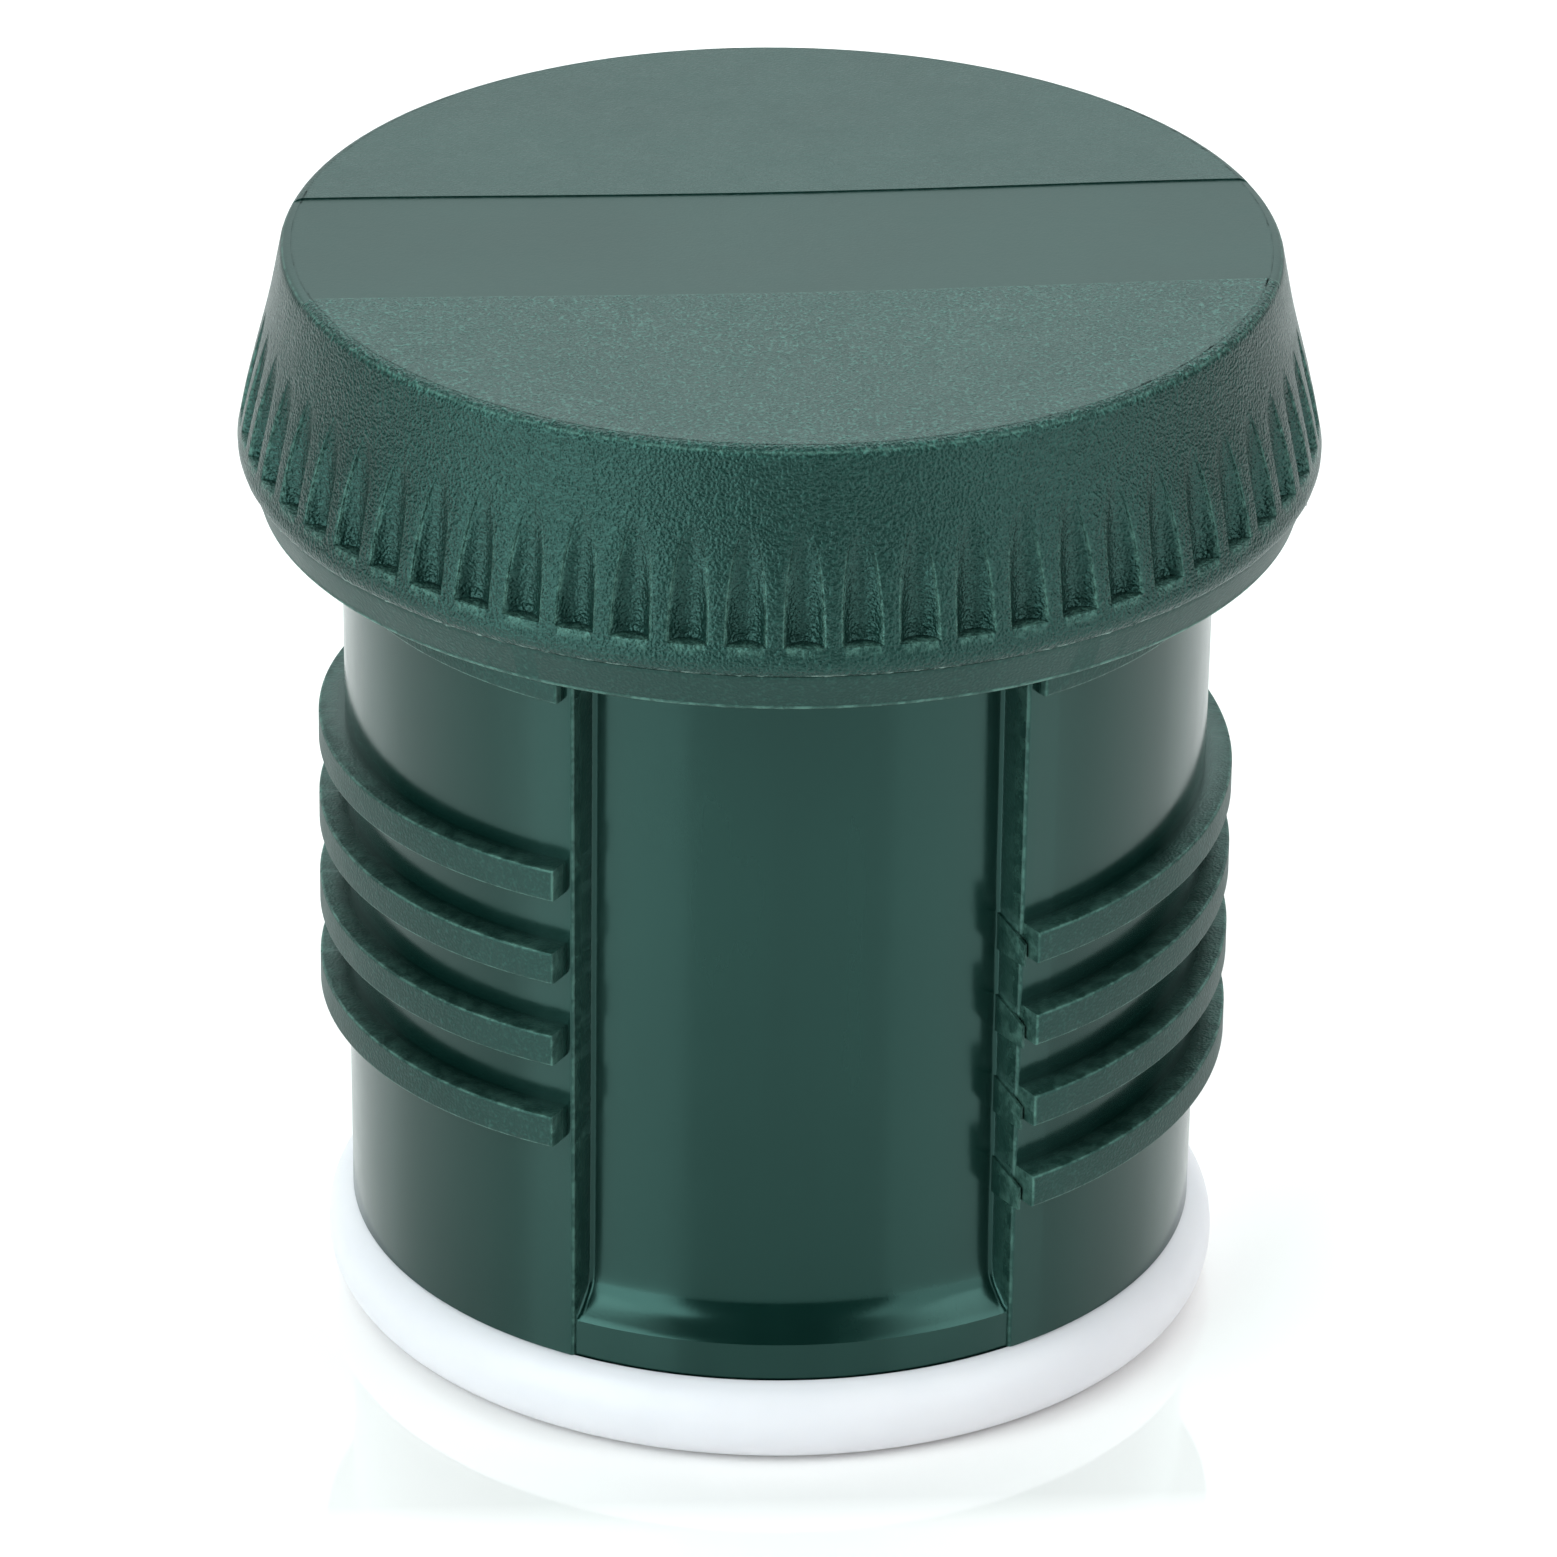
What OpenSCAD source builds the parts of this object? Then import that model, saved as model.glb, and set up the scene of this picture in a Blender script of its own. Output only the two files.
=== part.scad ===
// Pour-through stopper of a vacuum flask: a knurled cap welded on a threaded
// barrel with two pour channels, a foam core inside and a silicone gasket
// round the foot. The origin is in the middle of the gasket's underside,
// +Z is up, and the front pour channel faces -Y.

/* [Cap] */
// Height of the whole stopper
stopper_h = 62.8; // [62:0.1:70]
// Widest diameter, at the rim under the flutes
cap_d = 59.4; // [59:0.1:64]
// Lean of the skirt from upright, in degrees
skirt_lean = 12.5; // [8:0.25:14]
// Radius of the edge round the top
edge_r = 0.6; // [0.3:0.1:1.5]
// Number of grip flutes round the skirt
flute_count = 60; // [24:4:60]
// Radius of each flute's round bottom
flute_r = 1.05; // [0.6:0.01:1.1]
// Width of the smooth strip sunk across the top
strip_w = 13.5; // [6:0.5:24]
// Depth of that strip
strip_depth = 0.15; // [0.1:0.05:0.6]
// Turn of the strip from the X axis, in degrees
strip_turn = 1.2; // [-10:0.1:10]
// Thickness of the cap's shell
cap_wall = 2.2; // [1.6:0.1:2.4]

/* [Barrel] */
// Diameter just under the flange
barrel_top_d = 48.1; // [48:0.1:48.6]
// Diameter just above the gasket
barrel_low_d = 47.3; // [47:0.1:47.8]
// Thickness of the wall
barrel_wall = 2.1; // [1.6:0.1:2.4]
// Diameter of the flange's lower edge
flange_low_d = 57.16; // [54:0.1:58]
// Height of the flange's underside
flange_z = 48.28; // [47:0.1:49]
// Height of the seam between barrel and cap
seam_z = 50.65; // [50.2:0.05:51]
// Diameter of the collar under the flange
collar_d = 49.5; // [49:0.1:50.5]
// Height of that collar
collar_h = 3.2; // [1:0.1:6]

/* [Pour channels] */
// Half of the angle that each channel opens over
channel_half = 30.45; // [20:0.25:34]
// Radius of the channel's floor
channel_floor_r = 21.8; // [20.5:0.1:22.4]
// Height where the channel's floor meets its sill
sill_z = 8.4; // [7.5:0.1:12]
// Slope of the sill, in degrees below level
sill_slope = 42; // [20:1:50]

/* [Thread] */
// Outer diameter over the ribs
thread_d = 50.78; // [50:0.02:52]
// Rise of the single right-hand start in one turn
pitch = 5; // [4:0.5:6]
// Height of one rib
rib_h = 1.88; // [1.2:0.02:2.2]
// Number of ribs on each side
rib_count = 4; // [2:1:4]
// Height of the middle of the highest rib on the +X side
rib_top_z = 31.2; // [29:0.1:34]

/* [Gasket] */
// Outer diameter of the ring
gasket_d = 50.12; // [49:0.02:51]
// Height of the ring
gasket_h = 4.85; // [4.5:0.05:5.2]
// Height of the barrel's foot above the ground
foot_z = 0.6; // [0.4:0.1:1]
// Thickness of the barrel's foot flange
foot_h = 1.6; // [1.2:0.1:2]
// Diameter of the foot flange
foot_d = 44; // [43.4:0.1:44.6]
// Diameter of the groove that holds the ring
groove_d = 42.4; // [42:0.1:43]

/* [Core] */
// Gap between the foam core and the walls round it
core_gap = 0.2; // [0.1:0.05:0.5]
// Gap between the core and the underside of the cap
core_head_gap = 0.4; // [0.2:0.1:1]

/* [Hidden] */
$fn = 96;

plastic_green = [0.10, 0.28, 0.23];
cap_green = [0.16, 0.34, 0.29];
silicone_white = [0.93, 0.95, 0.96];
foam_white = [0.95, 0.95, 0.92];

// Cap: the rim band is upright, and the skirt leans in above it
cap_r = cap_d / 2;
rim_low_r = cap_r - 0.2;
rim_low_z = seam_z + 0.4;
rim_z = seam_z + 0.75;
edge_z = stopper_h - edge_r;
edge_x = cap_r - (edge_z - rim_z) * tan(skirt_lean) - edge_r / cos(skirt_lean);
spigot_r = cap_r - 3.1;
spigot_in_r = spigot_r - 2.2;
spigot_h = 4;
roof_z = stopper_h - cap_wall;
roof_r = edge_x + edge_r - cap_wall;

// Flutes: upright round-bottomed grooves that run out where they meet the skirt
flute_z = seam_z + 1.7;
flute_depth = 0.95;
flute_floor_r = cap_r - (flute_z - rim_z) * tan(skirt_lean) - flute_depth;
flute_h = 9;
flute_turn = -0.88;

// Barrel: a cup whose inside steps in behind the two channels
barrel_top_r = barrel_top_d / 2;
barrel_low_r = barrel_low_d / 2;
inner_r = barrel_low_r - barrel_wall + 0.35;
channel_inner_r = channel_floor_r - 2;
channel_wall_angle = 5;
floor_z = foot_z + 2.2;
root_h = 1.2;
flange_low_r = flange_low_d / 2;
flange_top_r = cap_r - 0.4;
cut_r = 27;

// Thread: each rib lies in a plane that follows the helix within 0.1 mm
thread_r = thread_d / 2;
rib_root_r = inner_r + 0.8;
rib_span = 180 - 2 * channel_half;
rib_rise = pitch * rib_span / 360;
rib_lean = atan(rib_rise / (2 * thread_r * sin(rib_span / 2)));
tab_r = barrel_top_r + 0.35;
tab_angle = 0.5;
rib_inset = 0.35;

// Gasket: one round outer bead over a flat foot
bead_r = gasket_h / 2 + 0.02;
bead_x = gasket_d / 2 - bead_r;
gasket_flat_r = bead_x + 0.6;

// A ring with the given profile from angle a0 to angle a1
module sector(a0, a1)
    rotate([0, 0, a0])
        rotate_extrude(angle = a1 - a0)
            children();

// A square-cornered profile between two radii and two heights
module band(r0, r1, z0, z1)
    translate([r0, z0])
        square([r1 - r0, z1 - z0]);

module cap_outline() {
    polygon([
        [0, seam_z],
        [rim_low_r, seam_z],
        [cap_r, rim_low_z],
        [cap_r, rim_z],
        [edge_x + edge_r * cos(skirt_lean), edge_z + edge_r * sin(skirt_lean)],
        [edge_x, stopper_h],
        [0, stopper_h]
    ]);
    translate([edge_x, edge_z])
        circle(r = edge_r);
}

module cap_hollow()
    polygon([
        [0, seam_z - 1],
        [spigot_r, seam_z - 1],
        [spigot_r, seam_z + spigot_h],
        [roof_r, roof_z],
        [0, roof_z]
    ]);

module flute()
    translate([flute_floor_r + flute_r, 0, flute_z])
        cylinder(r = flute_r, h = flute_h);

module cap()
    color(cap_green)
        difference() {
            rotate_extrude() cap_outline();
            rotate_extrude() cap_hollow();
            for (i = [0:flute_count - 1])
                rotate([0, 0, flute_turn - 90 + i * 360 / flute_count])
                    flute();
            rotate([0, 0, strip_turn])
                translate([-cap_r, -strip_w / 2, stopper_h - strip_depth])
                    cube([2 * cap_r, strip_w, 1]);
        }

module tube_outline()
    polygon([
        [0, foot_z],
        [foot_d / 2, foot_z],
        [foot_d / 2, foot_z + foot_h],
        [groove_d / 2, foot_z + foot_h],
        [groove_d / 2, gasket_h],
        [barrel_low_r, gasket_h],
        [barrel_top_r, flange_z],
        [barrel_top_r, flange_z + root_h],
        [0, flange_z + root_h]
    ]);

module flange_outline()
    polygon([
        [0, flange_z],
        [flange_low_r, flange_z],
        [flange_top_r, seam_z],
        [spigot_r, seam_z],
        [spigot_r, seam_z + spigot_h],
        [spigot_in_r, seam_z + spigot_h],
        [spigot_in_r, seam_z],
        [0, seam_z]
    ]);

// The space inside the barrel, grown by a clearance of -gap
module barrel_space(gap, z0, z1) {
    rotate_extrude()
        band(0, channel_inner_r - gap, z0, z1);
    for (side = [0, 180])
        sector(side - 90 + channel_half + channel_wall_angle, side + 90 - channel_half - channel_wall_angle)
            band(0, inner_r - gap, z0, z1);
}

// One pour channel in the tube, with a sill that slopes outwards at its foot
module channel()
    sector(-90 - channel_half, -90 + channel_half)
        polygon([
            [channel_floor_r, sill_z],
            [cut_r, sill_z - (cut_r - channel_floor_r) * tan(sill_slope)],
            [cut_r, flange_z + root_h / 2],
            [channel_floor_r, flange_z + root_h / 2]
        ]);

// The ribs on the +X side, each with a small tab on the front channel's wall
module ribs() {
    wall = -90 + channel_half;
    for (i = [0:rib_count - 1])
        intersection() {
            translate([0, 0, rib_top_z - i * pitch])
                rotate([rib_lean, 0, 0])
                    translate([0, -cut_r, -rib_h / 2])
                        cube([cut_r, 2 * cut_r, rib_h]);
            union() {
                sector(wall + rib_inset, -wall - rib_inset)
                    band(rib_root_r, thread_r, 0, flange_z);
                sector(wall - tab_angle, wall + tab_angle)
                    band(channel_floor_r - 0.2, tab_r, 0, flange_z);
            }
        }
}

module barrel()
    color(plastic_green) {
        difference() {
            union() {
                difference() {
                    rotate_extrude() tube_outline();
                    for (side = [0, 180])
                        rotate([0, 0, side])
                            channel();
                }
                rotate_extrude() flange_outline();
            }
            barrel_space(0, floor_z, seam_z + 1);
        }
        for (side = [0, 1])
            translate([0, 0, side * pitch / 2])
                rotate([0, 0, side * 180])
                    ribs();
        for (side = [0, 180])
            sector(side - 90 + channel_half + 1.5, side + 90 - channel_half - 1.5)
                band(rib_root_r, collar_d / 2, flange_z - collar_h, flange_z + root_h / 2);
    }

module insulation_core()
    color(foam_white) {
        barrel_space(core_gap, floor_z, seam_z + 0.2);
        rotate_extrude()
            band(0, spigot_in_r - core_gap, seam_z, roof_z - core_head_gap);
    }

module gasket()
    color(silicone_white)
        rotate_extrude()
            difference() {
                union() {
                    translate([bead_x, bead_r])
                        circle(r = bead_r);
                    band(groove_d / 2, bead_x, 0, gasket_h);
                    band(groove_d / 2, gasket_flat_r, 0, foot_z);
                }
                band(0, foot_d / 2, -1, foot_z + foot_h);
                band(0, cut_r, gasket_h, gasket_h + 1);
            }

cap();
barrel();
insulation_core();
gasket();
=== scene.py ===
"""Pour-through stopper of a vacuum flask: knurled cap, threaded barrel, gasket and foam core.

Lengths are in millimetres until a mesh is made, and angles in degrees round the +Z axis.
The front pour channel faces -Y, so its middle is at -90 degrees.
"""

import math

import bmesh
import bpy
import numpy as np
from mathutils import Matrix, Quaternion, Vector


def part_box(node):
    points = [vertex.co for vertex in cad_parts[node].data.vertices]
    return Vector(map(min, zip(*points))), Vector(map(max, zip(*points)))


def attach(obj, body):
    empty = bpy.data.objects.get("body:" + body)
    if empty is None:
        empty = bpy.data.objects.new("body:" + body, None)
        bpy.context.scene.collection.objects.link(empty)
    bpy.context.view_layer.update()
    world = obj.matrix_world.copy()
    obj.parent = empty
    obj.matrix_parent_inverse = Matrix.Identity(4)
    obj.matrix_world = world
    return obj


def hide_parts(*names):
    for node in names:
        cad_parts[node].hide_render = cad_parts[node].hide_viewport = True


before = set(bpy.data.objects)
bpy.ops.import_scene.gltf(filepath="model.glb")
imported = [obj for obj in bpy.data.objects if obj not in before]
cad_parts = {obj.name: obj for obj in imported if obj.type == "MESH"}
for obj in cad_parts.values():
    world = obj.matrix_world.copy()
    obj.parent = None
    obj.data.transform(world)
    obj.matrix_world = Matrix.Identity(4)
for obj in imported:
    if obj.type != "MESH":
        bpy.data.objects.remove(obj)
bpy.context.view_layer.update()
MM = 0.001


def box_mm(node):
    """Lowest and highest corner of a CAD node, in millimetres."""
    low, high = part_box(node)
    return [c / MM for c in low], [c / MM for c in high]


# ---------------------------------------------------------------- driving sizes
CAP_LOW, CAP_HIGH = box_mm("cap")
BARREL_LOW, BARREL_HIGH = box_mm("barrel")
_, GASKET_HIGH = box_mm("gasket")

TOP_Z = CAP_HIGH[2]
SEAM_Z = CAP_LOW[2]
CAP_R = CAP_HIGH[0]
FOOT_Z = BARREL_LOW[2]
SPIGOT_TOP = BARREL_HIGH[2]
GASKET_R = GASKET_HIGH[0]
GASKET_H = GASKET_HIGH[2]

# Cap
SKIRT_LEAN = math.radians(10.75)
FLARE = 0.33           # how much more the skirt leans in above its foot
FLARE_Z = (SEAM_Z + 2.4, SEAM_Z + 9.2)
RIM_Z = SEAM_Z + 0.75
EDGE_R = 0.75
FLUTES = 60
FLUTE_R = 1.05
FLUTE_TURN = -0.88
FLUTE_LEAN = 0.088
LEDGE_Z = SEAM_Z + 1.7
FLUTE_DEPTH = 0.95
STRIP_HALF = 6.75
STRIP_DEPTH = 0.09
STRIP_TURN = math.radians(1.2)
DISH = 0.25
SPIGOT_R = CAP_R - 3.1
ROOF_Z = TOP_Z - 2.2

# Barrel
TUBE_LOW_R = 23.65
TUBE_TOP_R = 24.05
FLANGE_Z = 48.28
FLANGE_LOW_R = 28.58
FLANGE_TOP_R = CAP_R - 0.4
COLLAR_R = 24.75
COLLAR_Z = FLANGE_Z - 3.2
COLLAR_BACK = 1.5
WALL_ANGLE = 30.45
FLOOR_R = 21.8
SILL_Z = 8.4
INNER_R = 21.9
INNER_CHANNEL_R = 19.8
BASE_Z = FOOT_Z + 2.2
FOOT_R = 22.0
FOOT_TOP = FOOT_Z + 1.6
GROOVE_R = 21.2

# Thread
THREAD_R = 25.39
PITCH = 5.0
RIB_HALF = 0.94
RIBS = 4
RIB_TOP_Z = 31.2
RIB_BACK = 0.3         # gap in degrees between a channel wall and the ribs that rise away from it
RIB_BACK_END = 1.1     # the same where the ribs come up to the next channel
TAB_R = 24.45
TAB_ANGLE = 0.42
TAB_DROP = 0.5

STEP = 0.02        # how far apart the two sides of a square step lie


# ---------------------------------------------------------------- mesh helpers
def rounding(distance, radius):
    """How far a rounded edge falls away at a distance inside that edge."""
    short = np.clip(radius - distance, 0, radius)
    return radius - np.sqrt(radius * radius - short * short)


def smooth(t):
    """0 below 0, 1 above 1, and an S-shaped rise between."""
    t = np.clip(t, 0, 1)
    return t * t * (3 - 2 * t)


def wave_noise(angles, seed, waves, low=3, high=40):
    """Smooth noise round a circle, about -1 to 1, from a sum of whole-numbered waves."""
    rng = np.random.RandomState(seed)
    total = np.zeros_like(angles)
    for _ in range(waves):
        total += np.sin(np.radians(angles) * rng.randint(low, high) + rng.uniform(0, 2 * math.pi))
    return total / math.sqrt(waves)


def ring(angles, radius, height, matte=0.0, edge=0.0):
    """One ring of points, each with how matte it is and how strongly a painted edge highlight lies on
    it.
    Every value may differ from point to point."""
    angles = np.asarray(angles, float)
    turn = np.radians(angles)
    values = [radius * np.cos(turn), radius * np.sin(turn), height, matte, edge]
    return np.stack([np.broadcast_to(v, angles.shape) for v in values], -1)


def ring_mesh(name, rings, bottom=None, top=None):
    """A closed mesh through a list of rings. bottom and top are the heights of the end
    points on the axis, and without them the last ring joins the first."""
    count = len(rings[0])
    points = np.concatenate(rings)
    verts = [tuple(p) for p in points[:, :3] * MM]
    faces = []
    pairs = list(zip(range(len(rings) - 1), range(1, len(rings))))
    if bottom is None:
        pairs.append((len(rings) - 1, 0))
    for a, b in pairs:
        for i in range(count):
            j = (i + 1) % count
            faces.append((a * count + i, a * count + j, b * count + j, b * count + i))
    for height, index in ((bottom, 0), (top, len(rings) - 1)):
        if height is None:
            continue
        verts.append((0, 0, height * MM))
        for i in range(count):
            faces.append((len(verts) - 1, index * count + (i + 1) % count, index * count + i))
    mesh = bpy.data.meshes.new(name)
    mesh.from_pydata(verts, [], faces)
    # the edge attribute carries the strength of the painted edge highlights
    for layer, column in (("matte", 3), ("edge", 4)):
        values = np.zeros(len(verts))
        values[:len(points)] = points[:, column]
        mesh.attributes.new(layer, "FLOAT", "POINT").data.foreach_set("value", values)
    piece = bpy.data.objects.new(name, mesh)
    bpy.context.scene.collection.objects.link(piece)
    edit(piece, lambda bm: bmesh.ops.recalc_face_normals(bm, faces=bm.faces))
    return piece


def edit(piece, change):
    """Runs change(bm) on the piece's mesh."""
    bm = bmesh.new()
    bm.from_mesh(piece.data)
    change(bm)
    bm.to_mesh(piece.data)
    bm.free()


def shade(piece, angle=38):
    """Smooth shading that keeps true edges, led by the large faces."""
    piece.data.polygons.foreach_set("use_smooth", [True] * len(piece.data.polygons))
    piece.data.set_sharp_from_angle(angle=math.radians(angle))
    weighted = piece.modifiers.new("weighted", "WEIGHTED_NORMAL")
    weighted.keep_sharp = True
    weighted.weight = 80


# ---------------------------------------------------------------- cap
def skirt_radius(z):
    flare = FLARE * float(smooth((z - FLARE_Z[0]) / (FLARE_Z[1] - FLARE_Z[0])))
    return CAP_R - (z - RIM_Z) * math.tan(SKIRT_LEAN) - flare


def flute_centre(z):
    """Distance of a flute cutter's axis from the stopper's axis."""
    floor = skirt_radius(LEDGE_Z) - FLUTE_DEPTH - (z - LEDGE_Z) * FLUTE_LEAN
    return floor + FLUTE_R


def flute_half(z):
    """Half of a flute's width at that height, never under the least width that the columns keep."""
    inside = FLUTE_R ** 2 - (flute_centre(z) - skirt_radius(z)) ** 2
    return math.sqrt(max(inside, 0.2 ** 2))


FLUTE_ARC = np.radians(np.arange(-90, 91, 15))
RIDGE_OFFSETS = (0.035, 0.08, 0.14)
FLUTE_EDGE_R = 0.14


def cap_columns(z):
    """Angles of one ring of the cap, with each one's depth below the skirt and its share
    of the painted highlight line along a flute's edge."""
    radius = skirt_radius(z)
    half = flute_half(z)
    pitch = 2 * math.pi * radius / FLUTES
    inside = half * np.sin(FLUTE_ARC)
    right = [half + d for d in RIDGE_OFFSETS] + [pitch / 2]
    left = [pitch - half - d for d in reversed(RIDGE_OFFSETS)]
    across = np.concatenate([inside, right, left])
    turn = across / radius
    reach = flute_centre(z) * np.sin(turn)
    cut = np.zeros_like(across)
    hit = np.abs(reach) < FLUTE_R
    wall = flute_centre(z) * np.cos(turn[hit]) - np.sqrt(FLUTE_R ** 2 - reach[hit] ** 2)
    cut[hit] = np.maximum(radius - wall, 0)
    depth_here = max(radius - (flute_centre(z) - FLUTE_R), 0)
    edge = np.abs(across - np.where(across > pitch / 2, pitch, 0)) - half
    soft = np.where(edge >= -1e-6, rounding(np.maximum(edge, 0), FLUTE_EDGE_R), FLUTE_EDGE_R)
    soft *= min(1, depth_here / (2 * FLUTE_EDGE_R))
    cut = np.maximum(cut, soft)
    # a painted highlight line along each flute's edge, fading out where the flute is shallow
    line = np.exp(-((edge - 0.03) / 0.07) ** 2) * float(smooth((depth_here - 0.1) / 0.4))
    step = 360 / FLUTES
    angles = np.concatenate([np.degrees(turn) + FLUTE_TURN - 90 + i * step for i in range(FLUTES)])
    return angles, np.tile(cut, FLUTES), np.tile(line, FLUTES)


def cap_rings():
    """Rings of the cap from the top's middle, down the skirt, and up the inside."""
    rings = []
    edge_z = TOP_Z - EDGE_R
    edge_x = skirt_radius(edge_z) - EDGE_R / math.cos(SKIRT_LEAN)
    plain, _, _ = cap_columns(TOP_Z)
    for radius in (3, 7, 11, 15, 19, 22, 24, 25.4, 26.2, 26.7):
        rings.append(ring(plain, radius, TOP_Z - DISH * smooth(1.15 - radius / 23)))
    lean = math.degrees(SKIRT_LEAN)
    for turn in np.radians(np.linspace(90, lean, 21)):
        # a painted highlight line round the top's rounded edge, strongest 40 degrees up the rounding
        highlight_line = 0.8 * math.exp(-((math.degrees(turn) - 40) / 6) ** 2)
        radius = edge_x + EDGE_R * math.cos(turn)
        rings.append(ring(plain, radius, edge_z + EDGE_R * math.sin(turn), edge=highlight_line))
    for z in (61.7, 61.0, 60.4, 60.0, 59.7, 59.45, 59.2, 58.95, 58.7, 58.4, 58.1, 57.7, 57.3, 56.8, 56.2,
              55.5, 54.8, 54.1, 53.5, 53.0, 52.7, LEDGE_Z + 0.2, LEDGE_Z + 0.1, LEDGE_Z + 0.03):
        angles, cut, line = cap_columns(z)
        foot = rounding(np.full_like(cut, z - LEDGE_Z), 0.2) * (cut > FLUTE_EDGE_R * 1.5)
        rings.append(ring(angles, skirt_radius(z) - np.maximum(cut - foot, 0), z, edge=line))
    angles, cut, line = cap_columns(LEDGE_Z)
    in_flute = cut > FLUTE_EDGE_R * 1.5
    # the ledge at the foot of each flute carries a painted highlight line
    for z, back in ((LEDGE_Z, 0.1), (LEDGE_Z - 0.03, 0.03), (LEDGE_Z - 0.1, 0)):
        rings.append(ring(angles, skirt_radius(z) - back * in_flute, z, edge=0.8 * in_flute))
    flash = np.clip(wave_noise(angles, 5, 40, 30, 400) - 0.4, 0, 1.5) / 1.5
    creep = wave_noise(angles, 8, 12, 2, 60)
    rings.append(ring(angles, skirt_radius(LEDGE_Z - 0.6), LEDGE_Z - 0.6))
    rings.append(ring(angles, CAP_R - 0.01, RIM_Z + 0.05))
    rings.append(ring(angles, CAP_R - 0.03, SEAM_Z + 0.42))
    rings.append(ring(angles, CAP_R - 0.1, SEAM_Z + 0.2 + 0.02 * creep))
    rings.append(ring(angles, CAP_R - 0.16 + 0.05 * flash, SEAM_Z + 0.1 + 0.02 * creep))
    rings.append(ring(angles, CAP_R - 0.24 + 0.14 * flash, SEAM_Z + 0.03))
    rings.append(ring(angles, CAP_R - 0.3 + 0.12 * flash, SEAM_Z))
    rings.append(ring(angles, SPIGOT_R, SEAM_Z))
    rings.append(ring(plain, SPIGOT_R, SPIGOT_TOP))
    rings.append(ring(plain, SPIGOT_R - 1.2, ROOF_Z))
    rings.append(ring(plain, 12, ROOF_Z))
    return rings


def sink_strip(bm):
    """Sinks the smooth strip across the top, with a steep little step at each side."""
    across = Vector((-math.sin(STRIP_TURN), math.cos(STRIP_TURN), 0))
    top = (ROOF_Z + 1) * MM
    for offset in (-STRIP_HALF - 0.03, -STRIP_HALF, STRIP_HALF, STRIP_HALF + 0.03):
        faces = [f for f in bm.faces if min(v.co.z for v in f.verts) > top]
        geometry = set(faces)
        for f in faces:
            geometry.update(f.verts)
            geometry.update(f.edges)
        bmesh.ops.bisect_plane(bm, geom=list(geometry), dist=1e-7,
                               plane_co=across * offset * MM, plane_no=across)
    for v in bm.verts:
        if v.co.z > top and abs(v.co.dot(across)) < (STRIP_HALF + 0.01) * MM:
            radius = math.hypot(v.co.x, v.co.y) / MM
            v.co.z -= STRIP_DEPTH * MM * float(smooth((27.3 - radius) / 0.5))


def make_cap():
    piece = ring_mesh("cap_shell", cap_rings(), bottom=TOP_Z - DISH, top=ROOF_Z)
    edit(piece, sink_strip)
    shade(piece, 32)
    return piece


# ---------------------------------------------------------------- barrel
FLOOR_CORNER_R = 0.35
WALL_EDGE_R = 0.22
RIB_EDGE_R = 0.16
FLANGE_EDGE_R = 0.22
FLANGE_MATTE = 0.9
SPIGOT_WALL = 2.2
INNER_MARGIN = 5       # how far past a channel's walls its bulge into the inside reaches, in degrees
MEAN_R = 24.0          # radius at which lengths along the wall become angles


def arc_angle(length, radius=MEAN_R):
    return math.degrees(length / radius)


def half_turn_columns():
    """Angles from the middle of one pour channel over one channel and one threaded side."""
    channel = [0, 0.06, 0.14, 0.24, 0.35]
    edge = [0, 0.03, 0.08, 0.15, 0.22]
    cols = [-WALL_ANGLE + arc_angle(STEP + d, FLOOR_R) for d in channel]
    cols += list(np.linspace(-28.6, 28.6, 40))
    tab = WALL_ANGLE - TAB_ANGLE
    cols += [tab - arc_angle(d) for d in (0.3, 0.18, 0.08, 0.03, STEP / 2)]
    cols += [tab + arc_angle(d) for d in (0, 0.05, 0.1)] + [WALL_ANGLE - arc_angle(STEP)]
    cols += [WALL_ANGLE + arc_angle(d) for d in edge]
    for start in (WALL_ANGLE + RIB_BACK, WALL_ANGLE + COLLAR_BACK):
        cols += [start - arc_angle(STEP)] + [start + arc_angle(d) for d in (0, 0.04, 0.1, 0.16)]
    inner = WALL_ANGLE + INNER_MARGIN
    cols += [inner, inner + 0.06]
    cols += list(np.linspace(inner + 1, 89.4, 32))
    cols += [90 + d for d in (-0.34, -0.2, -0.08, 0, 0.08, 0.2, 0.34)]
    cols += list(np.linspace(90.6, 180 - inner - 1, 32))
    cols += [180 - inner - 0.06, 180 - inner]
    for start in (180 - WALL_ANGLE - COLLAR_BACK, 180 - WALL_ANGLE - RIB_BACK_END):
        cols += [start + arc_angle(STEP)] + [start - arc_angle(d) for d in (0, 0.04, 0.1, 0.16)]
    cols += [180 - WALL_ANGLE - arc_angle(d) for d in edge]
    return np.array(sorted(set(round(c, 5) for c in cols)))


HALF_TURN = half_turn_columns()
COLUMNS = np.concatenate([HALF_TURN - 90, HALF_TURN + 90])
OFF_CENTRE = np.concatenate([HALF_TURN, HALF_TURN])   # angle from the middle of its own channel


def helix_rise():
    """How far the helix has risen at each column. It unwinds again across the front channel."""
    rise = PITCH * COLUMNS / 360
    front = COLUMNS < WALL_ANGLE - 90
    start = PITCH * (WALL_ANGLE - 90) / 360
    end = PITCH * (270 - WALL_ANGLE) / 360
    share = smooth((COLUMNS + 90 + WALL_ANGLE) / (2 * WALL_ANGLE))
    rise[front] = end + (start - end) * share[front]
    return rise


def side_distance():
    """Distance in millimetres from each column to the nearest channel wall, negative inside
    a channel."""
    folded = np.where(OFF_CENTRE > 90, 180 - OFF_CENTRE, np.abs(OFF_CENTRE))
    return np.radians(folded - WALL_ANGLE) * MEAN_R


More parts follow.
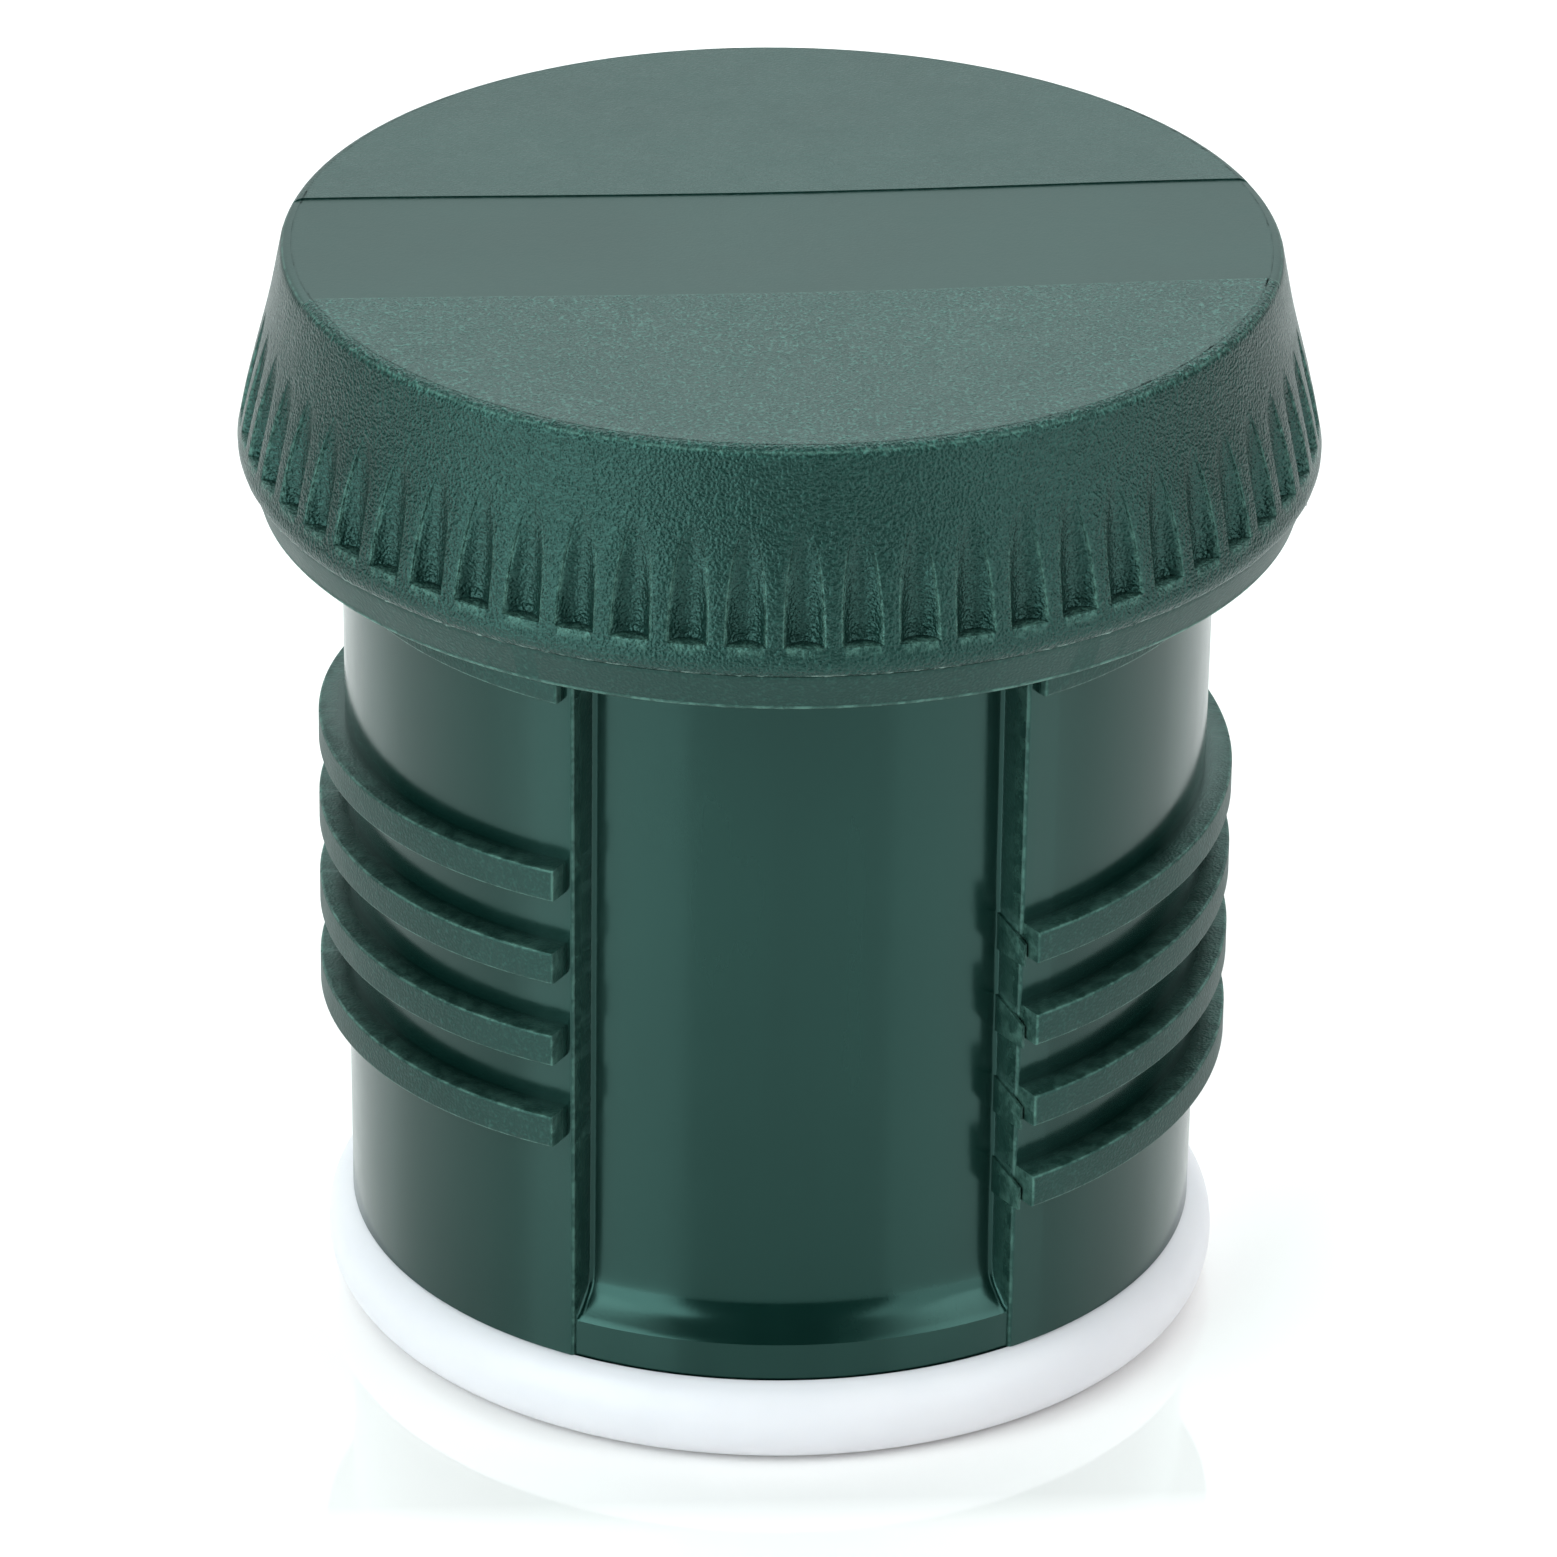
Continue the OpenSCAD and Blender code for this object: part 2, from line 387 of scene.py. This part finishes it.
RISE = helix_rise()
SIDE = side_distance()
CHANNEL = SIDE < -STEP / 4
TAB_SIDE = (OFF_CENTRE >= WALL_ANGLE - TAB_ANGLE - 1e-4) & (OFF_CENTRE < WALL_ANGLE - 1e-4)
RIB_SIDE = SIDE - np.radians(np.where(OFF_CENTRE > 90, RIB_BACK_END, RIB_BACK)) * MEAN_R
COLLAR_SIDE = SIDE - math.radians(COLLAR_BACK) * MEAN_R
PARTING = np.radians(OFF_CENTRE - 90) * MEAN_R


def tube_radius(z):
    return TUBE_LOW_R + (TUBE_TOP_R - TUBE_LOW_R) * (z - GASKET_H) / (FLANGE_Z - GASKET_H)


def sill_radius(z):
    """The channel's floor and its hollow sill, which runs out through the tube's surface."""
    over = SILL_Z - z
    return FLOOR_R + (over + np.sqrt(over * over + 0.3)) / 2 / 0.86


def channel_radius(z):
    """The surface inside a channel: floor, sill and the rounded corner at each wall."""
    corner = rounding(np.abs(SIDE), FLOOR_CORNER_R)
    floor = sill_radius(z) + corner
    lip = tube_radius(z) - 0.02
    gap = lip - floor
    blend = 0.12
    return floor + (gap - np.sqrt(gap * gap + blend * blend)) / 2


def rib_height(base_z):
    """Distance inside the nearest rib's top or bottom edge at a height on the unwound thread."""
    best = -99.0
    for i in range(RIBS):
        best = max(best, RIB_HALF - abs(base_z - (RIB_TOP_Z - i * PITCH)))
    return best


def tab_radius(base_z):
    """The tab beside each rib's end has a sloping top."""
    for i in range(RIBS):
        over = base_z - (RIB_TOP_Z - i * PITCH)
        if -RIB_HALF - TAB_DROP - 1e-6 <= over <= RIB_HALF - 0.2:
            return TAB_R - max(0, over + 0.1) * 2.6
    return 0


def outer_ring(base_z):
    """One ring of the barrel's outside, sheared to follow the thread."""
    thread_zone = smooth((base_z - 10.3) / 4) * smooth((44 - base_z) / 9.5)
    z = base_z + RISE * thread_zone
    parting = np.exp(-(PARTING / 0.07) ** 2)
    radius = tube_radius(z) - rounding(np.maximum(SIDE, 0), WALL_EDGE_R) - 0.02 * parting
    matte = np.where(CHANNEL & (SIDE > -0.06), 0.7, 0.0)
    # painted highlight lines: along the channel's edges here, and below on the ribs' edges, the collar's
    # edge and the tabs
    highlight_line = 0.55 * np.exp(-((SIDE - 0.07) / 0.07) ** 2) * ~CHANNEL
    inside = rib_height(base_z)
    if inside >= -1e-6:
        on_rib = RIB_SIDE >= -1e-6
        edge = np.minimum(np.maximum(RIB_SIDE, 0), max(inside, 0))
        radius = np.where(on_rib, THREAD_R - rounding(edge, RIB_EDGE_R) - 0.1 * parting, radius)
        matte = np.where(on_rib, 1.0, matte)
        highlight_line = np.where(on_rib, np.exp(-((edge - 0.05) / 0.05) ** 2), highlight_line)
    if base_z >= COLLAR_Z - 1e-6:
        on_collar = COLLAR_SIDE >= -1e-6
        edge = np.minimum(np.maximum(COLLAR_SIDE, 0), max(base_z - COLLAR_Z, 0))
        radius = np.where(on_collar, COLLAR_R - rounding(edge, RIB_EDGE_R), radius)
        matte = np.where(on_collar, 0.8, matte)
        highlight_line = np.where(on_collar, np.exp(-((edge - 0.05) / 0.05) ** 2), highlight_line)
    radius = np.where(CHANNEL, np.minimum(channel_radius(z), radius), radius)
    tab = tab_radius(base_z)
    if tab > 0:
        radius = np.where(TAB_SIDE, np.maximum(radius, tab), radius)
        matte = np.where(TAB_SIDE, 1.0, matte)
        highlight_line = np.where(TAB_SIDE, 0.6, highlight_line)
    return ring(COLUMNS, radius, z, matte, highlight_line)


def outer_heights():
    """Heights of the rings on the outside, closer together at every edge."""
    z = list(np.arange(GASKET_H, 6.0, 0.3))
    z += list(np.arange(6.1, 9.6, 0.15))
    z += [9.8, 10.2, 10.9, 11.6, 12.4, 13.2]
    for i in range(RIBS):
        middle = RIB_TOP_Z - i * PITCH
        for edge in (0, 0.04, 0.09, 0.16):
            z += [middle - RIB_HALF + edge, middle + RIB_HALF - edge]
        z += [middle - RIB_HALF - STEP, middle + RIB_HALF + STEP, middle]
        z += [middle - RIB_HALF - TAB_DROP, middle - RIB_HALF - TAB_DROP - STEP]
        z += [middle + RIB_HALF - 0.2 + STEP, middle - 0.1, middle + 0.3]
        z += [middle + 1.5, middle + 2.3, middle - 1.6]
    z += list(np.linspace(34, COLLAR_Z - 0.4, 12))
    z += [COLLAR_Z - STEP] + [COLLAR_Z + d for d in (0, 0.04, 0.09, 0.16, 0.8, 1.6, 2.6)] + [FLANGE_Z]
    return sorted(set(round(v, 4) for v in z))


def barrel_rings():
    """Rings of the barrel from the middle of its underside, up the outside and down the inside."""
    rings = []
    rings.append(ring(COLUMNS, 1.4, FOOT_Z + 0.12))
    rings.append(ring(COLUMNS, 1.5, FOOT_Z + 0.4))
    rings.append(ring(COLUMNS, 16.8, FOOT_Z + 0.4))
    rings.append(ring(COLUMNS, 17.2, FOOT_Z + 0.05))
    rings.append(ring(COLUMNS, 17.4, FOOT_Z))
    rings.append(ring(COLUMNS, FOOT_R - 0.2, FOOT_Z))
    rings.append(ring(COLUMNS, FOOT_R - 0.06, FOOT_Z + 0.06))
    rings.append(ring(COLUMNS, FOOT_R, FOOT_Z + 0.2))
    rings.append(ring(COLUMNS, FOOT_R, FOOT_TOP))
    rings.append(ring(COLUMNS, GROOVE_R, FOOT_TOP))
    rings.append(ring(COLUMNS, GROOVE_R, GASKET_H))
    rings.append(ring(COLUMNS, TUBE_LOW_R - 0.1, GASKET_H))
    rings += [outer_ring(z) for z in outer_heights()]
    middle_r = FLANGE_LOW_R - FLANGE_EDGE_R
    middle_z = FLANGE_Z + FLANGE_EDGE_R
    rings.append(ring(COLUMNS, middle_r, FLANGE_Z, FLANGE_MATTE))
    # a painted highlight line round the flange's rounded lower edge
    for turn, highlight_line in ((-60, 0.5), (-30, 1), (0, 0.6), (14, 0)):
        radius = middle_r + FLANGE_EDGE_R * math.cos(math.radians(turn))
        z = middle_z + FLANGE_EDGE_R * math.sin(math.radians(turn))
        rings.append(ring(COLUMNS, radius, z, FLANGE_MATTE, highlight_line))
    rings.append(ring(COLUMNS, FLANGE_TOP_R - 0.05, SEAM_Z - 0.35, FLANGE_MATTE))
    rings.append(ring(COLUMNS, FLANGE_TOP_R - 0.03, SEAM_Z - 0.1, FLANGE_MATTE))
    rings.append(ring(COLUMNS, FLANGE_TOP_R - 0.12, SEAM_Z, FLANGE_MATTE))
    rings.append(ring(COLUMNS, SPIGOT_R - 0.01, SEAM_Z))
    rings.append(ring(COLUMNS, SPIGOT_R - 0.01, SPIGOT_TOP))
    rings.append(ring(COLUMNS, SPIGOT_R - SPIGOT_WALL, SPIGOT_TOP))
    rings.append(ring(COLUMNS, SPIGOT_R - SPIGOT_WALL, SEAM_Z))
    reach = WALL_ANGLE + INNER_MARGIN + 0.03
    behind = (np.abs(OFF_CENTRE) < reach) | (OFF_CENTRE > 180 - reach)
    inner = np.where(behind, INNER_CHANNEL_R, INNER_R)
    rings.append(ring(COLUMNS, inner, SEAM_Z))
    rings.append(ring(COLUMNS, inner, BASE_Z))
    rings.append(ring(COLUMNS, 10, BASE_Z))
    return rings


def make_barrel():
    piece = ring_mesh("barrel_body", barrel_rings(), bottom=FOOT_Z + 0.1, top=BASE_Z)
    shade(piece, 32)
    return piece


# ---------------------------------------------------------------- gasket
def gasket_profile():
    """Radius and height round the ring's section, anticlockwise from its inner foot."""
    bead = GASKET_H / 2 + 0.02
    middle = GASKET_R - bead
    points = [(FOOT_R + 0.05, 0.12), (FOOT_R + 0.2, 0.0), (middle + 0.3, 0.0)]
    for turn in np.radians(np.linspace(-78, 62, 30)):
        across = math.copysign(abs(math.cos(turn)) ** 0.9, math.cos(turn))
        up = math.copysign(abs(math.sin(turn)) ** 0.9, math.sin(turn))
        points.append((middle + bead * across, bead + bead * up))
    points += [(TUBE_LOW_R - 0.1, GASKET_H - 0.02), (TUBE_LOW_R - 0.5, GASKET_H)]
    points += [(GROOVE_R + 0.1, GASKET_H)]
    points += [(GROOVE_R, GASKET_H - 0.1), (GROOVE_R, FOOT_TOP + 0.1), (GROOVE_R + 0.1, FOOT_TOP)]
    points += [(FOOT_R - 0.05, FOOT_TOP), (FOOT_R, FOOT_TOP - 0.05), (FOOT_R, 0.6)]
    return points


def make_gasket():
    angles = np.arange(0, 360, 1.5)
    wander = wave_noise(angles, 3, 6, 2, 9)
    rings = []
    for radius, z in gasket_profile():
        outside = smooth((radius - TUBE_LOW_R) / 1.2)
        rings.append(ring(angles, radius - 0.03 * outside * (1 + wander / 3), z))
    piece = ring_mesh("gasket_ring", rings)
    shade(piece, 50)
    return piece


# ---------------------------------------------------------------- materials
class Nodes:
    """Short names for building a material's node tree."""

    def __init__(self, name):
        self.material = bpy.data.materials.new(name)
        self.material.use_nodes = True
        self.tree = self.material.node_tree
        self.shader = self.tree.nodes["Principled BSDF"]

    def add(self, kind, **values):
        node = self.tree.nodes.new(kind)
        for key, value in values.items():
            if key in node.inputs:
                node.inputs[key].default_value = value
            else:
                setattr(node, key, value)
        return node

    def link(self, out, into):
        self.tree.links.new(out, into)

    def place(self):
        return self.add("ShaderNodeTexCoord").outputs["Object"]

    def attribute(self, name):
        node = self.add("ShaderNodeAttribute")
        node.attribute_name = name
        return node.outputs["Fac"]

    def noise(self, place, scale, detail=3.0, roughness=0.55):
        node = self.add("ShaderNodeTexNoise", Scale=scale, Detail=detail, Roughness=roughness)
        self.link(place, node.inputs["Vector"])
        return node.outputs["Fac"]

    def stretch(self, place, x, y, z, turn=0.0):
        node = self.add("ShaderNodeMapping")
        node.inputs["Scale"].default_value = (x, y, z)
        node.inputs["Rotation"].default_value = (0, 0, turn)
        self.link(place, node.inputs["Vector"])
        return node.outputs["Vector"]

    def remap(self, value, low, high, to_low=0.0, to_high=1.0):
        node = self.add("ShaderNodeMapRange")
        node.inputs["From Min"].default_value = low
        node.inputs["From Max"].default_value = high
        node.inputs["To Min"].default_value = to_low
        node.inputs["To Max"].default_value = to_high
        self.link(value, node.inputs["Value"])
        return node.outputs["Result"]

    def maths(self, kind, a, b):
        node = self.add("ShaderNodeMath", operation=kind)
        for slot, value in ((0, a), (1, b)):
            if isinstance(value, (int, float)):
                node.inputs[slot].default_value = value
            else:
                self.link(value, node.inputs[slot])
        return node.outputs["Value"]

    def mix(self, share, a, b):
        node = self.add("ShaderNodeMix", data_type="RGBA")
        self.link(share, node.inputs["Factor"])
        for slot, value in (("A", a), ("B", b)):
            socket = [s for s in node.inputs if s.name == slot and s.type == "RGBA"][0]
            if isinstance(value, tuple):
                socket.default_value = value
            else:
                self.link(value, socket)
        return [s for s in node.outputs if s.type == "RGBA"][0]

    def bump(self, height, distance, strength=1.0, before=None):
        node = self.add("ShaderNodeBump")
        node.inputs["Strength"].default_value = strength
        node.inputs["Distance"].default_value = distance
        self.link(height, node.inputs["Height"])
        if before is not None:
            self.link(before, node.inputs["Normal"])
        return node.outputs["Normal"]


DEEP_GREEN = (0.0018, 0.0112, 0.0089, 1)
GREEN = (0.0032, 0.0165, 0.0132, 1)
# painted glints on the grain
GLINT_GREEN = (0.030, 0.095, 0.078, 1)
# painted highlight lines along the edges
HIGHLIGHT_GREEN = (0.125, 0.260, 0.215, 1)
# painted glints along the seam
SEAM_GLINT_GREEN = (0.32, 0.46, 0.41, 1)
GREEN_SHINE = (0.47, 1.0, 0.90, 1)


def moulded_grain(n, place):
    """The fine pebbled grain of a spark-eroded mould, from 0 to about 1."""
    grain = n.noise(place, 5400, 2.0, 0.55)
    pebbles = n.add("ShaderNodeTexVoronoi", feature="SMOOTH_F1", Scale=6400.0)
    n.link(place, pebbles.inputs["Vector"])
    distance = n.maths("MULTIPLY", pebbles.outputs["Distance"], 0.7)
    return n.maths("ADD", n.maths("MULTIPLY", grain, 0.6), distance)


LINE_SOFT = 0.00005    # half of the width over which the strip's sides change texture, in metres
BACK_GRAIN = 0.4       # how strong the grain is on the top behind the strip
FRONT_GLINTS = 4.0     # how much more the top in front of the strip carries painted glints than the skirt


def cap_material():
    """Dark green polypropylene with a fine moulded grain, smooth on the strip across the top. Glints on
    the grain, highlight lines along the edges and glints along the seam are painted into its colour.
    """
    n = Nodes("cap_plastic")
    place = n.place()
    axes = n.add("ShaderNodeSeparateXYZ")
    n.link(place, axes.inputs["Vector"])
    turned = n.add("ShaderNodeSeparateXYZ")
    n.link(n.stretch(place, 1, 1, 1, -STRIP_TURN), turned.inputs["Vector"])
    half = STRIP_HALF * MM
    in_front = n.remap(turned.outputs["Y"], -half + LINE_SOFT, -half - LINE_SOFT)
    behind = n.remap(turned.outputs["Y"], half - LINE_SOFT, half + LINE_SOFT, 0, BACK_GRAIN)
    below = n.remap(axes.outputs["Z"], (TOP_Z - 0.3) * MM, (TOP_Z - 0.8) * MM)
    rough_zone = n.maths("MAXIMUM", n.maths("MAXIMUM", in_front, behind), below)

    grain = moulded_grain(n, place)
    broad = n.noise(place, 90, 4)
    green = n.mix(n.remap(broad, 0.35, 0.65), DEEP_GREEN, GREEN)
    # painted glints on the grain, strongest on the top in front of the strip
    top_front = n.maths("MULTIPLY", n.maths("SUBTRACT", in_front, below), FRONT_GLINTS)
    glint_zone = n.maths("MAXIMUM", top_front, rough_zone)
    glint = n.maths("MULTIPLY", n.remap(grain, 0.6, 0.9, 0, 0.3), glint_zone)
    green = n.mix(glint, green, GLINT_GREEN)
    # painted highlight lines along the edges, from the edge attribute, and along the strip's front side,
    # broken up by noise
    highlight_breakup = n.remap(n.noise(place, 2600, 3, 0.7), 0.42, 0.6, 0.15, 0.9)
    from_line = n.maths("ABSOLUTE", n.maths("ADD", turned.outputs["Y"], half), 0)
    line = n.maths("SUBTRACT", n.remap(from_line, 0.00011, 0.00004, 0, 1.0), below)
    edge = n.maths("MAXIMUM", n.attribute("edge"), line)
    green = n.mix(n.maths("MULTIPLY", edge, n.maths("MULTIPLY", highlight_breakup, 0.5)), green, HIGHLIGHT_GREEN)
    # painted glints along the seam under the cap's rim
    seam = n.remap(axes.outputs["Z"], (SEAM_Z + 0.2) * MM, (SEAM_Z + 0.06) * MM)
    seam_glints = n.remap(n.noise(place, 1300, 3, 0.7), 0.48, 0.62)
    green = n.mix(n.maths("MULTIPLY", n.maths("MULTIPLY", seam, seam_glints), 0.5), green, SEAM_GLINT_GREEN)
    n.link(green, n.shader.inputs["Base Color"])

    rough = n.remap(n.noise(place, 500, 3), 0.3, 0.7, 0.0, 0.06)
    n.link(n.maths("ADD", n.remap(rough_zone, 0, 1, 0.30, 0.31), rough), n.shader.inputs["Roughness"])
    n.shader.inputs["IOR"].default_value = 1.47
    n.shader.inputs["Specular Tint"].default_value = GREEN_SHINE

    texture = n.maths("MULTIPLY", grain, n.remap(rough_zone, 0, 1, 0.06, 1))
    ripple = n.noise(n.stretch(place, 60, 500, 300, -STRIP_TURN), 1, 3)
    normal = n.bump(texture, 0.00011, 1.0)
    normal = n.bump(ripple, 0.00003, 0.2, normal)
    n.link(normal, n.shader.inputs["Normal"])
    return n.material


def barrel_material():
    """Dark green polypropylene. The walls are polished, and the ribs, collar and flange are matte.
    Glints on the grain of the matte parts and highlight lines along the edges are painted into its
    colour.
    """
    n = Nodes("barrel_plastic")
    place = n.place()
    matte = n.attribute("matte")
    broad = n.noise(place, 60, 4)
    flow = n.noise(n.stretch(place, 260, 260, 16), 1, 4, 0.6)
    share = n.maths("MULTIPLY", n.maths("ADD", broad, flow), 0.5)
    green = n.mix(n.remap(share, 0.35, 0.65), DEEP_GREEN, GREEN)
    grain = moulded_grain(n, place)
    # painted glints on the grain of the matte parts
    glint = n.maths("MULTIPLY", n.remap(grain, 0.62, 0.95, 0, 0.4), matte)
    green = n.mix(glint, green, GLINT_GREEN)
    # painted highlight lines along the edges, from the edge attribute, broken up by noise
    highlight_breakup = n.remap(n.noise(place, 1100, 3, 0.7), 0.42, 0.6, 0.2, 0.95)
    highlight_share = n.maths("MULTIPLY", n.attribute("edge"), n.maths("MULTIPLY", highlight_breakup, 0.6))
    green = n.mix(highlight_share, green, HIGHLIGHT_GREEN)
    n.link(green, n.shader.inputs["Base Color"])
    polish = n.remap(n.noise(place, 240, 4, 0.65), 0.3, 0.75, 0.15, 0.23)
    n.link(n.maths("ADD", polish, n.maths("MULTIPLY", matte, 0.3)), n.shader.inputs["Roughness"])
    n.shader.inputs["IOR"].default_value = 1.47
    n.shader.inputs["Specular Tint"].default_value = GREEN_SHINE
    normal = n.bump(flow, 0.00004, 0.1)
    normal = n.bump(n.maths("MULTIPLY", grain, n.remap(matte, 0, 1, 0.02, 0.6)), 0.00009, 0.7, normal)
    n.link(normal, n.shader.inputs["Normal"])
    return n.material


def silicone_material():
    """White silicone, a little translucent, with the faintest dusty sheen."""
    n = Nodes("silicone")
    place = n.place()
    cloud = n.noise(place, 110, 4)
    white = n.mix(n.remap(cloud, 0.3, 0.7), (0.690, 0.665, 0.700, 1), (0.730, 0.700, 0.730, 1))
    n.link(white, n.shader.inputs["Base Color"])
    n.shader.inputs["Subsurface Weight"].default_value = 0.5
    n.shader.inputs["Subsurface Radius"].default_value = (1.0, 0.95, 0.9)
    n.shader.inputs["Subsurface Scale"].default_value = 0.0012
    n.link(n.remap(n.noise(place, 700, 3), 0.3, 0.7, 0.34, 0.46), n.shader.inputs["Roughness"])
    n.shader.inputs["IOR"].default_value = 1.41
    n.link(n.bump(n.noise(place, 1400, 3), 0.00002, 0.3), n.shader.inputs["Normal"])
    return n.material


def foam_material():
    """White bead foam: packed cells with a soft crease between them."""
    n = Nodes("bead_foam")
    place = n.place()
    beads = n.add("ShaderNodeTexVoronoi", feature="F1", Scale=330.0)
    n.link(place, beads.inputs["Vector"])
    crease = n.remap(beads.outputs["Distance"], 0.2, 0.75)
    # painted shade: the creases between the beads are painted darker
    n.link(n.mix(crease, (0.88, 0.88, 0.84, 1), (0.7, 0.7, 0.66, 1)), n.shader.inputs["Base Color"])
    n.link(n.remap(n.noise(place, 900, 3), 0.3, 0.7, 0.7, 0.85), n.shader.inputs["Roughness"])
    n.link(n.bump(crease, -0.0003, 0.7), n.shader.inputs["Normal"])
    return n.material


# painted light: the floor in front of the stopper glows to wash out the stopper's shadow there
FLOOR_GLOW = 0.22
GLOW_START = -28.0     # how far forward the glow begins
GLOW_FULL = -31.5


def floor_material():
    """White acrylic floor with a faint mirror image. In front of the stopper the floor glows
    though it is no lamp: painted light that drowns the stopper's shadow and mirror image there."""
    n = Nodes("white_acrylic")
    place = n.place()
    cloud = n.noise(place, 6, 3)
    n.link(n.mix(cloud, (0.95, 0.91, 0.90, 1), (0.97, 0.93, 0.92, 1)), n.shader.inputs["Base Color"])
    n.link(n.remap(n.noise(place, 15, 3), 0.3, 0.7, 0.02, 0.04), n.shader.inputs["Roughness"])
    n.shader.inputs["IOR"].default_value = 1.8
    axes = n.add("ShaderNodeSeparateXYZ")
    n.link(place, axes.inputs["Vector"])
    glow = n.remap(axes.outputs["Y"], GLOW_START * MM, GLOW_FULL * MM, 0, FLOOR_GLOW)
    n.shader.inputs["Emission Color"].default_value = (1, 1, 1, 1)
    n.link(glow, n.shader.inputs["Emission Strength"])
    return n.material


# ---------------------------------------------------------------- stage, lights and camera
CENTRE = Vector((0.000183, -0.000012, 0.02993))   # what the camera looks at


def make_floor():
    bpy.ops.mesh.primitive_plane_add(size=6, location=(0, 0, 0))
    floor = bpy.context.object
    floor.name = "floor"
    floor.data.materials.append(floor_material())


def direction(azimuth, elevation):
    """Unit vector from the stopper towards a place. Azimuth 0 is towards -Y, 90 towards +X."""
    a, e = math.radians(azimuth), math.radians(elevation)
    return Vector((math.sin(a) * math.cos(e), -math.cos(a) * math.cos(e), math.sin(e)))


def softbox(name, azimuth, elevation, distance, width, height, radiance, colour=(1, 1, 1), raise_by=0.0):
    """A rectangular light that faces the stopper, with its own brightness per area."""
    lamp = bpy.data.lights.new(name, "AREA")
    lamp.shape = "RECTANGLE"
    lamp.size = width
    lamp.size_y = height
    lamp.energy = radiance * math.pi * width * height
    lamp.color = colour
    light = bpy.data.objects.new(name, lamp)
    back = direction(azimuth, elevation)
    light.location = back * distance + Vector((0, 0, raise_by))
    light.rotation_mode = "QUATERNION"
    light.rotation_quaternion = back.to_track_quat("Z", "Y")
    light.visible_camera = False
    bpy.context.scene.collection.objects.link(light)
    return light


# Each softbox: name, azimuth, elevation, distance, width, height, brightness, colour, and
# how far it is raised, in degrees and metres
SOFTBOXES = (
    ("overhead", 180, 62, 0.75, 0.9, 0.7, 2.7, (0.94, 0.99, 1.0), 0.0),
    ("backdrop", 180, 30, 0.9, 2.0, 0.9, 1.1, (0.87, 1.0, 0.99), 0.0),
    ("left_high", -72, 50, 0.45, 0.25, 0.25, 1.2, (0.97, 1.0, 1.0), 0.0),
    ("right_high", 72, 50, 0.45, 0.25, 0.25, 1.8, (0.97, 1.0, 1.0), 0.0),
    ("left_front", -50, 0, 0.45, 0.36, 0.7, 4.7, (0.86, 1.0, 1.0), 0.3),
    ("right_front", 52, 0, 0.45, 0.36, 0.7, 2.7, (0.91, 1.0, 1.0), 0.3),
)
WORLD = 0.01           # brightness of the dim surroundings
CAMERA_AZIMUTH = -3.7
CAMERA_ELEVATION = 26.677
CAMERA_DISTANCE = 0.58504
CAMERA_ROLL = 0.747
LENS = 242.75
SENSOR = 36


def make_lights():
    for values in SOFTBOXES:
        softbox(*values)
    world = bpy.data.worlds.new("studio")
    world.use_nodes = True
    background = world.node_tree.nodes["Background"]
    background.inputs["Color"].default_value = (0.9, 0.95, 1.0, 1)
    background.inputs["Strength"].default_value = WORLD
    bpy.context.scene.world = world


def make_camera():
    lens = bpy.data.cameras.new("camera")
    lens.lens = LENS
    lens.sensor_width = SENSOR
    lens.clip_start = 0.05
    lens.clip_end = 20
    camera = bpy.data.objects.new("camera", lens)
    back = direction(CAMERA_AZIMUTH, CAMERA_ELEVATION)
    camera.location = CENTRE + back * CAMERA_DISTANCE
    camera.rotation_mode = "QUATERNION"
    roll = Quaternion((0, 0, 1), math.radians(CAMERA_ROLL))
    camera.rotation_quaternion = (-back).to_track_quat("-Z", "Y") @ roll
    bpy.context.scene.collection.objects.link(camera)
    bpy.context.scene.camera = camera


# ---------------------------------------------------------------- put together
make_camera()
make_floor()
make_lights()
bpy.context.scene.view_settings.view_transform = "Standard"

PIECES = (
    (make_cap, cap_material, "cap", "cap_plastic"),
    (make_barrel, barrel_material, "barrel", "barrel_plastic"),
    (make_gasket, silicone_material, "gasket", "silicone"),
)
for make, material, node, slot in PIECES:
    piece = make()
    piece.data.materials.append(material())
    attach(piece, "root")
    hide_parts(node)

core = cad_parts["insulation_core"]
core.data.materials.clear()
core.data.materials.append(foam_material())
